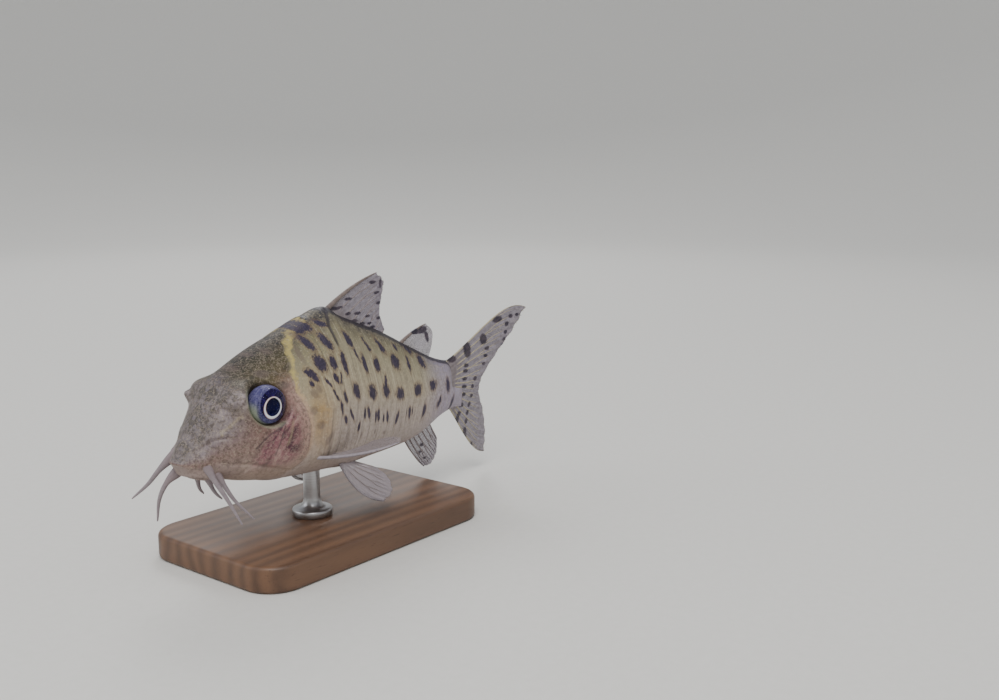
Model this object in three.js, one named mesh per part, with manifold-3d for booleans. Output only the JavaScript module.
// A spotted corydoras catfish, life size, swimming level just above the ground on a display stand.
// Units are millimetres and +Z is up. The fish is shaped in its own frame first: X runs from the
// snout tip to the tail, Z is the height above the belly's lowest line, and the left side is at -Y.
// The whole fish is then pitched a little nose up and held over the base of its stand.
import * as THREE from 'three';
import { mergeVertices } from 'three/addons/utils/BufferGeometryUtils.js';
import Module from 'manifold-3d';

const wasm = await Module();
wasm.setup();

// Driving dimensions of the pose and the stand.
const PITCH = THREE.MathUtils.degToRad(4.5);
const BODY_MIDDLE = new THREE.Vector3(20, 0, 8);
const MIDDLE_HEIGHT = 17;
const GAP = 0.3;
const BASE = { length: 36, width: 22, thickness: 3, corner: 4, bevel: 0.5, x: 23 };
const ROD = { x: 21, radius: 1, footRadius: 2.4, footHeight: 0.7, flare: 0.8 };

// Outline of the body. Each line gives [distance from the snout, value] at the few places
// where its shape turns, and is joined smoothly between them.
const BACK_LINE = [[2.4, 3.5], [2.9, 4.5], [3.8, 6.2], [4.8, 8.2], [5.8, 10], [7.2, 11.9],
  [9.3, 13.3], [12, 14.8], [16, 16.6], [20, 18.4], [22.4, 19.2], [24.6, 18.2], [28, 17.1], [33, 15.6],
  [38, 13.6], [44, 11.5], [47.2, 11]];
const BELLY_LINE = [[2.4, 2.9], [3, 2.2], [4, 1.7], [6, 1.2], [10, 0.4], [15, 0], [23, 0],
  [30, 0.5], [36, 1.1], [40, 2.1], [44, 3.8], [47.2, 4.7]];
const HALF_WIDTH = [[2.4, 1.1], [3, 1.7], [4, 2.5], [5.4, 3.6], [7.4, 4.9], [10, 5.65], [14, 6.5],
  [18, 6.7], [24, 6], [30, 4.8], [36, 3.4], [42, 2.1], [47.2, 1]];
const WIDEST_HEIGHT = 0.4;
const BACK_ROUNDNESS = 1.7;
const BELLY_ROUNDNESS = 2.7;
const SNOUT_TIP = 2.25;
const TAIL_END = 47.2;
const TAIL_END_SLANT = 1;

// Bony scutes: one upper and one lower row on each side, meeting at the side line.
const SCUTES = { first: 15.6, pitch: 1.4, count: 22, step: 0.14, relief: 0.22, apex: 1.3 };
const RING_SIDES = 32;
const SIDE_LINE_TURN = Math.PI / 16;
const NAKED_BELLY_TURN = -0.95;
const SIDE_GROOVE = 0.12;

// Where the body is parted: behind the gill covers and in front of the tail stalk.
const COLLAR_CUT = [[19, 22], [17.2, 17.4], [15.2, 15.6], [14.4, 13], [14.1, 10.9], [14.7, 9],
  [15.2, 7], [15.2, 4.5], [14.4, 2.4], [13, 0.6], [12.6, -3]];
const TAIL_CUT = [[34.6, 20], [34.2, -4]];

const EYE = { x: 10.6, y: 4.45, z: 9.25, radius: 2.2, depth: 1.9 };
const GILL_COVER = { x: 13, z: 4.9, length: 4.8, height: 6.4, lean: -0.3, inner: 4.3, lift: 0.25 };
const NOSTRIL = { x: 5.9, turn: 0.8, radius: 0.6, height: 0.4, bore: 0.34, depth: 1 };
const MOUTH = { x: 4.3, z: 2.5, tilt: 0.5, width: 1.7, upperLip: 0.46, lowerLip: 0.42, lipStep: 0.8 };

// Fins: a thick line for each ray, a thinner membrane between.
const RAY = { root: 0.8, tip: 0.42 };
const MEMBRANE = { root: 0.5, tip: 0.36 };
const SPINE = { root: 1.3, tip: 0.5 };
const FIN_SINK = 0.9;
const MARGIN_NOTCH = 0.035;
const FIN_ROWS = 6;

// Smooth value between the points of a line, with no overshoot between them.
function valueAt(line, s) {
  const last = line.length - 1;
  if (s <= line[0][0]) return line[0][1];
  if (s >= line[last][0]) return line[last][1];
  const i = line.findIndex((point) => point[0] > s) - 1;
  const slope = (k) => (line[k + 1][1] - line[k][1]) / (line[k + 1][0] - line[k][0]);
  const tangent = (k) => {
    if (k === 0) return slope(0);
    if (k === last) return slope(last - 1);
    const before = slope(k - 1);
    const after = slope(k);
    return before * after <= 0 ? 0 : (2 * before * after) / (before + after);
  };
  const step = line[i + 1][0] - line[i][0];
  const t = (s - line[i][0]) / step;
  const startWeight = 2 * t ** 3 - 3 * t ** 2 + 1;
  const bend = tangent(i) * (t ** 3 - 2 * t ** 2 + t) + tangent(i + 1) * (t ** 3 - t ** 2);
  return line[i][1] * startWeight + line[i + 1][1] * (1 - startWeight) + step * bend;
}

const backLine = (s) => valueAt(BACK_LINE, s);
const bellyLine = (s) => valueAt(BELLY_LINE, s);
const halfWidth = (s) => valueAt(HALF_WIDTH, s);

// A point of the body's skin: turn is measured from the left side (-Y), up is positive, and lift
// moves the point off the surface along the section's own normal.
function skinPoint(s, turn, lift) {
  const middle = bellyLine(s) + WIDEST_HEIGHT * (backLine(s) - bellyLine(s));
  const up = Math.sin(turn) >= 0;
  const height = up ? backLine(s) - middle : middle - bellyLine(s);
  const power = up ? BACK_ROUNDNESS : BELLY_ROUNDNESS;
  const width = halfWidth(s);
  const across = -Math.cos(turn);
  const rise = Math.sin(turn);
  const radius = (Math.abs(across / width) ** power + Math.abs(rise / height) ** power) ** (-1 / power);
  const y = across * radius;
  const z = rise * radius;
  const normal = new THREE.Vector2(
    Math.sign(y) * Math.abs(y) ** (power - 1) / width ** power,
    Math.sign(z) * Math.abs(z) ** (power - 1) / height ** power,
  ).normalize();
  return new THREE.Vector3(s, y + normal.x * lift, middle + z + normal.y * lift);
}

// Height of a turn on either side, from -90 degrees at the belly to 90 degrees on the back.
const sideTurn = (turn) => Math.asin(Math.sin(turn));

// The plates' rear edges point to the tail at the side line, and the tail's end is slanted.
function ringShift(s, turn) {
  const side = sideTurn(turn);
  const reach = side > SIDE_LINE_TURN ? Math.PI / 2 - SIDE_LINE_TURN : Math.PI / 2 + SIDE_LINE_TURN;
  const apex = SCUTES.apex * (1 - Math.abs(side - SIDE_LINE_TURN) / reach);
  const onPlates = THREE.MathUtils.smoothstep(s, 12, 19) * (1 - THREE.MathUtils.smoothstep(s, 41, 46));
  const atEnd = THREE.MathUtils.smoothstep(s, 39, TAIL_END);
  return apex * onPlates - TAIL_END_SLANT * Math.sin(side) * atEnd;
}

// Closed skin through rings of points, with a fan to each end point.
function skinOver(rings, startPoint, endPoint) {
  const sides = rings[0].length;
  const points = [...rings.flat(), startPoint, endPoint];
  const start = points.length - 2;
  const end = points.length - 1;
  const faces = [];
  for (let side = 0; side < sides; side += 1) {
    const next = (side + 1) % sides;
    faces.push(start, side, next);
    for (let ring = 0; ring < rings.length - 1; ring += 1) {
      const a = ring * sides + side;
      const b = ring * sides + next;
      faces.push(a, a + sides, b, b, a + sides, b + sides);
    }
    const lastRing = (rings.length - 1) * sides;
    faces.push(end, lastRing + next, lastRing + side);
  }
  const geometry = new THREE.BufferGeometry().setFromPoints(points);
  geometry.setIndex(faces);
  return geometry;
}

// Closed geometry to a solid for joining and cutting, and back.
function toSolid(geometry) {
  const bare = geometry.clone();
  bare.deleteAttribute('normal');
  bare.deleteAttribute('uv');
  const merged = mergeVertices(bare, 1e-4);
  const solid = new wasm.Manifold(new wasm.Mesh({
    numProp: 3,
    vertProperties: new Float32Array(merged.attributes.position.array),
    triVerts: new Uint32Array(merged.index.array),
  }));
  return solid;
}

function toGeometry(solid) {
  const mesh = solid.getMesh();
  const geometry = new THREE.BufferGeometry();
  geometry.setAttribute('position', new THREE.BufferAttribute(new Float32Array(mesh.vertProperties), 3));
  geometry.setIndex(new THREE.BufferAttribute(new Uint32Array(mesh.triVerts), 1));
  geometry.computeVertexNormals();
  return geometry;
}

// The largest closed piece that a cut leaves.
const largest = (solid) => solid.decompose().reduce((a, b) => (b.volume() > a.volume() ? b : a));

// The body in one piece. Growth is the distance that every wall is moved out.
function bodySolid(growth, relief) {
  const rings = [];
  const addRing = (s, lift, onPlates) => {
    const isEnd = s >= TAIL_END;
    rings.push(Array.from({ length: RING_SIDES }, (unused, k) => {
      const turn = (k / RING_SIDES) * 2 * Math.PI;
      const side = sideTurn(turn);
      const armoured = THREE.MathUtils.smoothstep(side, NAKED_BELLY_TURN, NAKED_BELLY_TURN + 0.3);
      const groove = Math.abs(side - SIDE_LINE_TURN) < 0.01 ? SIDE_GROOVE : 0;
      const ridge = THREE.MathUtils.smoothstep(side, 1.2, 1.45);
      const sunk = relief * onPlates * (1 - ridge) * (armoured * lift + groove);
      const point = skinPoint(s + ringShift(s, turn), turn, growth - sunk);
      point.x += isEnd ? growth : 0;
      return point;
    }));
  };
  const headRings = [2.4, 2.7, 3.1, 3.6, 4.2, 4.9, 5.8, 6.8, 8, 9.3, 10.7, 12.2, 13.9];
  headRings.forEach((s) => addRing(s, 0, 0));
  for (let plate = 0; plate < SCUTES.count; plate += 1) {
    const front = SCUTES.first + plate * SCUTES.pitch;
    const fade = 1 - THREE.MathUtils.smoothstep(front, 40, 47);
    addRing(front, SCUTES.relief, fade);
    if (relief > 0) addRing(front + SCUTES.pitch - SCUTES.step, 0, fade);
  }
  addRing(TAIL_END - 0.6, 0, 0);
  addRing(TAIL_END, 0, 0);
  const nose = new THREE.Vector3(SNOUT_TIP - growth, 0, (backLine(0) + bellyLine(0)) / 2);
  const tailMiddle = (backLine(TAIL_END) + bellyLine(TAIL_END)) / 2;
  const end = new THREE.Vector3(TAIL_END + growth, 0, tailMiddle);
  return toSolid(skinOver(rings, nose, end));
}

// A sheet of one gap's thickness along a line in side view, right across the body.
function cuttingSheet(line) {
  const curve = new THREE.CatmullRomCurve3(line.map(([x, z]) => new THREE.Vector3(x, z, 0)));
  const steps = line.length > 2 ? 14 : 1;
  const front = [];
  const rear = [];
  for (let i = 0; i <= steps; i += 1) {
    const point = curve.getPoint(i / steps);
    const along = curve.getTangent(i / steps);
    front.push(new THREE.Vector2(point.x + along.y * GAP / 2, point.y - along.x * GAP / 2));
    rear.push(new THREE.Vector2(point.x - along.y * GAP / 2, point.y + along.x * GAP / 2));
  }
  return sideExtrusion(new THREE.Shape([...front, ...rear.reverse()]), -12, 12);
}

// A shape drawn in side view (X and Z), extruded across the body between two values of Y.
function sideExtrusion(shape, from, to) {
  const geometry = new THREE.ExtrudeGeometry(shape, { depth: to - from, bevelEnabled: false });
  geometry.rotateX(Math.PI / 2);
  geometry.translate(0, to, 0);
  return toSolid(geometry);
}

// The outline of the gill cover, drawn in side view on one side of the head.
function gillCoverPlug(growth, side) {
  const outline = new THREE.Shape();
  outline.absellipse(GILL_COVER.x, GILL_COVER.z, GILL_COVER.length / 2 + growth,
    GILL_COVER.height / 2 + growth, 0, 2 * Math.PI, false, GILL_COVER.lean);
  const shape = new THREE.Shape(outline.getPoints(9));
  const inner = GILL_COVER.inner - growth;
  return side < 0 ? sideExtrusion(shape, -12, -inner) : sideExtrusion(shape, inner, 12);
}

// Lips: two rings one under the other with the line of the mouth between them, closed by a disc.
function mouthSolid(growth) {
  const ring = (radius, tube, drop) => {
    const torus = new THREE.TorusGeometry(radius, tube + growth, 8, 20);
    torus.translate(0, 0, -drop);
    return torus;
  };
  const disc = new THREE.CylinderGeometry(MOUTH.width, MOUTH.width, MOUTH.lipStep + 1.4, 20);
  disc.rotateX(Math.PI / 2);
  disc.translate(0, 0, 0.7 - MOUTH.lipStep / 2);
  const pieces = [
    ring(MOUTH.width, MOUTH.upperLip, 0),
    ring(MOUTH.width * 0.86, MOUTH.lowerLip, MOUTH.lipStep),
    disc,
  ];
  const placed = pieces.map((piece) => {
    piece.rotateY(MOUTH.tilt);
    piece.translate(MOUTH.x, 0, MOUTH.z);
    return toSolid(piece);
  });
  return placed[0].add(placed[1]).add(placed[2]);
}

// The rim of a nostril and its blind bore, at right angles to the snout's slope.
function nostrilPieces(side) {
  const turn = side < 0 ? NOSTRIL.turn : Math.PI - NOSTRIL.turn;
  const seat = skinPoint(NOSTRIL.x, turn, 0);
  const outward = skinPoint(NOSTRIL.x, turn, 1).sub(seat);
  outward.x -= 0.8;
  outward.normalize();
  const upright = new THREE.Quaternion().setFromUnitVectors(new THREE.Vector3(0, 1, 0), outward);
  const place = (geometry) => {
    geometry.applyQuaternion(upright);
    geometry.translate(seat.x, seat.y, seat.z);
    return toSolid(geometry);
  };
  const rim = new THREE.CylinderGeometry(NOSTRIL.radius * 0.85, NOSTRIL.radius, NOSTRIL.height * 2, 12);
  const bore = new THREE.CylinderGeometry(NOSTRIL.bore, NOSTRIL.bore, NOSTRIL.depth * 2, 10);
  bore.translate(0, NOSTRIL.height, 0);
  return { rim: place(rim), bore: place(bore) };
}

// An eyeball, a little flatter across the head than along it.
function eyeball(side, growth) {
  const sphere = new THREE.SphereGeometry(1, 20, 12);
  sphere.scale(EYE.radius + growth, EYE.depth + growth, EYE.radius + growth);
  sphere.translate(EYE.x, side * EYE.y, EYE.z);
  return toSolid(sphere);
}

// A tapered whisker along a curve through the given points.
function whisker(points, rootRadius, tipRadius) {
  const curve = new THREE.CatmullRomCurve3(points);
  const steps = 12;
  const frames = curve.computeFrenetFrames(steps, false);
  const rings = [];
  for (let i = 0; i <= steps; i += 1) {
    const radius = THREE.MathUtils.lerp(rootRadius, tipRadius, i / steps);
    const centre = curve.getPointAt(i / steps);
    rings.push(Array.from({ length: 8 }, (unused, k) => {
      const turn = (-k / 8) * 2 * Math.PI;
      return centre.clone()
        .addScaledVector(frames.normals[i], radius * Math.cos(turn))
        .addScaledVector(frames.binormals[i], radius * Math.sin(turn));
    }));
  }
  return toSolid(skinOver(rings, curve.getPointAt(0), curve.getPointAt(1)));
}

// A fan of fin rays between a root line and a margin line, both run from the leading edge to the
// last ray. Bow gives how far the lines from root to margin are bent aside.
function fan(root, margin, bow) {
  const rootLine = new THREE.CatmullRomCurve3(root);
  const marginLine = new THREE.CatmullRomCurve3(margin);
  return (u, v) => rootLine.getPoint(u).lerp(marginLine.getPoint(u), v).add(bow(u, v));
}

// Thickness of a fin: the leading spine, the rays as ridges, and the membrane between them.
function finThickness(column, v, hasSpine) {
  const piece = column % 2 === 0 ? RAY : MEMBRANE;
  const sizes = column === 0 && hasSpine ? SPINE : piece;
  return THREE.MathUtils.lerp(sizes.root, sizes.tip, v);
}

// A fin as a closed sheet, split alike on both faces, with its free margin notched between rays.
function finSolid(sheet, rays, hasSpine) {
  const columns = 2 * rays - 1;
  const point = (column, row) => {
    const notch = column % 2 === 0 ? 0 : MARGIN_NOTCH;
    return sheet(column / (columns - 1), (row / FIN_ROWS) * (1 - notch));
  };
  const faceSide = (side) => {
    const grid = [];
    for (let row = 0; row <= FIN_ROWS; row += 1) {
      for (let column = 0; column < columns; column += 1) {
        const u = column / (columns - 1);
        const v = row / FIN_ROWS;
        const across = sheet(Math.min(u + 0.01, 1), v).sub(sheet(Math.max(u - 0.01, 0), v));
        const along = sheet(u, Math.min(v + 0.01, 1)).sub(sheet(u, Math.max(v - 0.01, 0)));
        const normal = across.cross(along).normalize();
        const half = finThickness(column, v, hasSpine) / 2;
        grid.push(point(column, row).addScaledVector(normal, side * half));
      }
    }
    return grid;
  };
  const points = [...faceSide(1), ...faceSide(-1)];
  const faceSize = columns * (FIN_ROWS + 1);
  const faces = [];
  const quad = (a, b, c, d) => faces.push(a, b, c, a, c, d);
  const at = (column, row) => row * columns + column;
  for (let row = 0; row < FIN_ROWS; row += 1) {
    for (let column = 0; column < columns - 1; column += 1) {
      const corners = [at(column, row), at(column + 1, row), at(column + 1, row + 1), at(column, row + 1)];
      quad(...corners);
      const [a, b, c, d] = corners.map((corner) => corner + faceSize);
      faces.push(c, b, a, d, c, a);
    }
    const first = [at(0, row), at(0, row + 1)];
    const last = [at(columns - 1, row), at(columns - 1, row + 1)];
    quad(first[1], first[1] + faceSize, first[0] + faceSize, first[0]);
    quad(last[0], last[0] + faceSize, last[1] + faceSize, last[1]);
  }
  for (let column = 0; column < columns - 1; column += 1) {
    const root = [at(column, 0), at(column + 1, 0)];
    const tip = [at(column, FIN_ROWS), at(column + 1, FIN_ROWS)];
    quad(root[0], root[0] + faceSize, root[1] + faceSize, root[1]);
    quad(tip[1], tip[1] + faceSize, tip[0] + faceSize, tip[0]);
  }
  const geometry = new THREE.BufferGeometry().setFromPoints(points);
  geometry.setIndex(faces);
  const solid = toSolid(geometry);
  return solid.volume() > 0 ? solid : toSolid(turnedOut(geometry));
}

// The same closed sheet with every face turned to point out.
function turnedOut(geometry) {
  const turned = geometry.clone();
  const index = Array.from(geometry.index.array);
  for (let i = 0; i < index.length; i += 3) {
    [index[i], index[i + 1]] = [index[i + 1], index[i]];
  }
  turned.setIndex(index);
  return turned;
}

const at = (x, y, z) => new THREE.Vector3(x, y, z);
const onBack = (s) => at(s, 0, backLine(s) - FIN_SINK);
const onBelly = (s) => at(s, 0, bellyLine(s) + FIN_SINK);

// The spined dorsal fin is half folded back, its rays running to a steep rear margin.
const dorsalSheet = fan(
  [onBack(22.6), onBack(25), onBack(27.5), onBack(30), onBack(32.4)],
  [at(31.6, 0, 23.2), at(32.9, 0, 22.2), at(32.7, 0, 20.4), at(32.4, 0, 18.2), at(33.4, 0, 16)],
  (u, v) => at(0, 0, 0.5 * (1 - u) * 4 * v * (1 - v)),
);
const adiposeSheet = fan(
  [onBack(35.8), onBack(38), onBack(40), onBack(41.8)],
  [at(41.2, 0, 16.4), at(42.5, 0, 15.6), at(42.7, 0, 14), at(42.3, 0, 12.6)],
  (u, v) => at(0, 0, 0.3 * (1 - u) * 4 * v * (1 - v)),
);

// The tail fin is twisted a little: its upper lobe leans to the left, its lower one to the right.
const lobeBow = (v) => 6.75 * v ** 2 * (1 - v);
const upperLobeSheet = fan(
  [at(44.9, 0, 10.7), at(45.6, 0, 9.7), at(46.2, 0, 8.8), at(46.6, 0, 8.1)],
  [at(60.6, -2, 18.2), at(58.6, -1.4, 15), at(55.9, -0.8, 11.8), at(53.4, -0.2, 8.2)],
  (u, v) => at(0, -0.6 * (1 - u) * v * (1 - v), 1.9 * (1 - u) ** 2 * lobeBow(v)),
);
const lowerLobeSheet = fan(
  [at(46.8, 0, 7.3), at(46.7, 0, 6.5), at(46.6, 0, 5.8), at(46.3, 0, 5.1)],
  [at(53.3, 0.1, 6.4), at(55.6, 1, 3.2), at(57.6, 2, -0.4), at(58.8, 3, -3.5)],
  (u, v) => at(0, 0.6 * u * v * (1 - v), -1.2 * u ** 2 * lobeBow(v)),
);
const analSheet = fan(
  [onBelly(37.2), onBelly(38.8), onBelly(40.4), onBelly(42)],
  [at(42.3, 0.3, -3), at(43.8, 0.3, -2.8), at(44.7, 0.2, -1.4), at(44.6, 0.1, 0.6)],
  (u, v) => at(0, 0, -0.4 * (1 - u) * 4 * v * (1 - v)),
);

// Paired fins, drawn for the left side and mirrored for the right one.
const pelvicSheet = (side) => fan(
  [at(22.3, side * 4.2, 1), at(23.1, side * 4, 0.9), at(23.9, side * 3.7, 0.9), at(24.7, side * 3.3, 0.9)],
  [at(27.1, side * 7, -3.8), at(28.9, side * 6.6, -3), at(29.3, side * 5.6, -1.6),
    at(28.3, side * 4.4, -0.3)],
  (u, v) => at(-0.9 * (1 - u) ** 2, side * 0.4, -0.8 * (1 - u) ** 2).multiplyScalar(4 * v * (1 - v)),
);
const pectoralSheet = (side) => fan(
  [at(16.2, side * 5, 2.7), at(16.8, side * 5, 2.6), at(17.5, side * 5, 2.6), at(18.2, side * 5, 2.7)],
  [at(23.4, side * 12.6, 4.8), at(24.9, side * 11.2, 4.9), at(25.1, side * 9.5, 4.7),
    at(24, side * 8, 4.2)],
  (u, v) => at(0, side * 0.8 * (1 - u), -0.4).multiplyScalar(4 * v * (1 - v)),
);

// Whiskers: two at each corner of the mouth and a short pair under the chin.
const WHISKERS = {
  upper: { left: [at(4.1, -2.3, 3.4), at(4.7, -3.2, 1.9), at(5.7, -4.5, -0.5), at(6.7, -5.8, -3.1)],
    right: [at(3.5, 2, 3.4), at(2.9, 3.4, 1.7), at(2.5, 5, 0), at(1.9, 7, -1.9)] },
  lower: { left: [at(5.3, -2.5, 2.3), at(6, -3.3, 1), at(7, -4, -0.8), at(8.6, -5.4, -2.9)],
    right: [at(3.9, 1.4, 2), at(2.9, 2.1, 0.7), at(2.6, 3, -1.2), at(3, 3.9, -4)] },
  chin: { left: [at(5.9, -0.9, 1.7), at(6.1, -1.1, 0.5), at(6.6, -1.4, -0.5), at(7.3, -1.6, -1.2)],
    right: [at(5.9, 0.9, 1.7), at(6.1, 1.1, 0.5), at(6.6, 1.4, -0.5), at(7.3, 1.6, -1.2)] },
};
const WHISKER_RADIUS = { upper: 0.56, lower: 0.52, chin: 0.45, tip: 0.2 };

// Body with its cuts, sockets and openings.
const wholeBody = bodySolid(0, 1);
const clearance = bodySolid(GAP, 0);
const headClearance = clearance.add(mouthSolid(GAP));
const sheets = cuttingSheet(COLLAR_CUT).add(cuttingSheet(TAIL_CUT));
const bodyPieces = wholeBody.subtract(sheets).decompose()
  .filter((piece) => piece.volume() > 10)
  .sort((a, b) => a.boundingBox().min[0] - b.boundingBox().min[0]);
const [headBlock, torsoSolid, tailSolid] = bodyPieces;

const SIDES = [['left', -1], ['right', 1]];
let headSolid = headBlock.add(mouthSolid(0));
const raisedBody = bodySolid(GILL_COVER.lift, 0).subtract(sheets);
const coverSolids = SIDES.map(([name, side]) => {
  const nostril = nostrilPieces(side);
  headSolid = headSolid.add(nostril.rim).subtract(nostril.bore);
  headSolid = headSolid.subtract(eyeball(side, GAP));
  headSolid = headSolid.subtract(gillCoverPlug(GAP, side));
  const plug = raisedBody.intersect(gillCoverPlug(0, side));
  const clearOfEye = plug.subtract(eyeball(side, GAP));
  const inFront = clearOfEye.decompose().sort((a, b) => a.boundingBox().min[0] - b.boundingBox().min[0]);
  return [`gill_cover_${name}`, inFront[0]];
});

// Looks of the pieces.
const paint = (color, roughness, metalness = 0) => new THREE.MeshStandardMaterial({
  color, roughness, metalness,
});
const LOOKS = {
  head: paint('#6f6358', 0.45),
  flank: paint('#968c73', 0.4),
  cover: paint('#8a5f5a', 0.4),
  fin: paint('#9a948c', 0.5),
  whisker: paint('#b3a99c', 0.5),
  eye: paint('#10121a', 0.12),
  rod: paint('#b8babd', 0.3, 1),
  base: paint('#6b4a34', 0.5),
};

const fish = new THREE.Group();
function addNode(parent, name, solid, look) {
  const mesh = new THREE.Mesh(toGeometry(solid), look);
  mesh.name = name;
  parent.add(mesh);
  return mesh;
}

addNode(fish, 'head', largest(headSolid), LOOKS.head);
addNode(fish, 'torso', torsoSolid, LOOKS.flank);
addNode(fish, 'tail', tailSolid, LOOKS.flank);
coverSolids.forEach(([name, solid]) => addNode(fish, name, largest(solid), LOOKS.cover));

const offBody = (solid) => largest(solid.subtract(headClearance));
const finNode = (name, sheet, rays, hasSpine) => {
  addNode(fish, name, offBody(finSolid(sheet, rays, hasSpine)), LOOKS.fin);
};
finNode('dorsal_fin', dorsalSheet, 8, true);
finNode('adipose_fin', adiposeSheet, 3, true);
finNode('caudal_fin_upper', upperLobeSheet, 7, false);
finNode('caudal_fin_lower', lowerLobeSheet, 7, false);
finNode('anal_fin', analSheet, 7, false);
SIDES.forEach(([name, side]) => {
  finNode(`pectoral_fin_${name}`, pectoralSheet(side), 8, true);
  finNode(`pelvic_fin_${name}`, pelvicSheet(side), 6, false);
  addNode(fish, `eye_${name}`, eyeball(side, 0), LOOKS.eye);
  ['upper', 'lower', 'chin'].forEach((kind) => {
    const shape = whisker(WHISKERS[kind][name], WHISKER_RADIUS[kind], WHISKER_RADIUS.tip);
    addNode(fish, `barbel_${kind}_${name}`, offBody(shape), LOOKS.whisker);
  });
});

// The fish is pitched about the middle of its body and lifted to its height over the floor.
fish.rotation.y = PITCH;
fish.position.copy(BODY_MIDDLE).sub(BODY_MIDDLE.clone().applyEuler(fish.rotation));
fish.position.z += MIDDLE_HEIGHT - BODY_MIDDLE.z;
fish.updateMatrix();

// The stand: a flat base with rounded corners, and one rod with a small foot up to the belly.
const stand = new THREE.Group();
function baseGeometry() {
  const { length, width, thickness, corner, bevel } = BASE;
  const halfLength = length / 2 - bevel;
  const halfDepth = width / 2 - bevel;
  const shape = new THREE.Shape();
  shape.absarc(halfLength - corner, halfDepth - corner, corner, 0, Math.PI / 2);
  shape.absarc(corner - halfLength, halfDepth - corner, corner, Math.PI / 2, Math.PI);
  shape.absarc(corner - halfLength, corner - halfDepth, corner, Math.PI, Math.PI * 1.5);
  shape.absarc(halfLength - corner, corner - halfDepth, corner, Math.PI * 1.5, Math.PI * 2);
  const options = { depth: thickness - 2 * bevel, bevelSize: bevel, bevelThickness: bevel };
  const geometry = new THREE.ExtrudeGeometry(shape, { ...options, bevelSegments: 2, curveSegments: 6 });
  geometry.translate(0, 0, bevel);
  return geometry;
}
function rodGeometry() {
  const low = BASE.thickness + GAP;
  const profile = [[0, low], [ROD.footRadius, low], [ROD.footRadius, low + ROD.footHeight],
    [ROD.radius, low + ROD.footHeight + ROD.flare], [ROD.radius, MIDDLE_HEIGHT], [0, MIDDLE_HEIGHT]];
  const geometry = new THREE.LatheGeometry(profile.map(([r, z]) => new THREE.Vector2(r, z)), 20);
  geometry.rotateX(Math.PI / 2);
  return geometry;
}
const baseMesh = addNode(stand, 'stand_base', toSolid(baseGeometry()), LOOKS.base);
baseMesh.position.x = BASE.x;
const rod = rodGeometry();
rod.translate(ROD.x, 0, 0);
const posedClearance = toSolid(toGeometry(clearance).applyMatrix4(fish.matrix));
addNode(stand, 'stand_rod', largest(toSolid(rod).subtract(posedClearance)), LOOKS.rod);

// The origin is under the middle of the whole model's box, on the floor.
const model = new THREE.Group();
model.add(fish, stand);
model.updateMatrixWorld(true);
const box = new THREE.Box3().setFromObject(model, true);
model.position.set(-(box.min.x + box.max.x) / 2, -(box.min.y + box.max.y) / 2, -box.min.z);
model.updateMatrixWorld(true);

export default model;
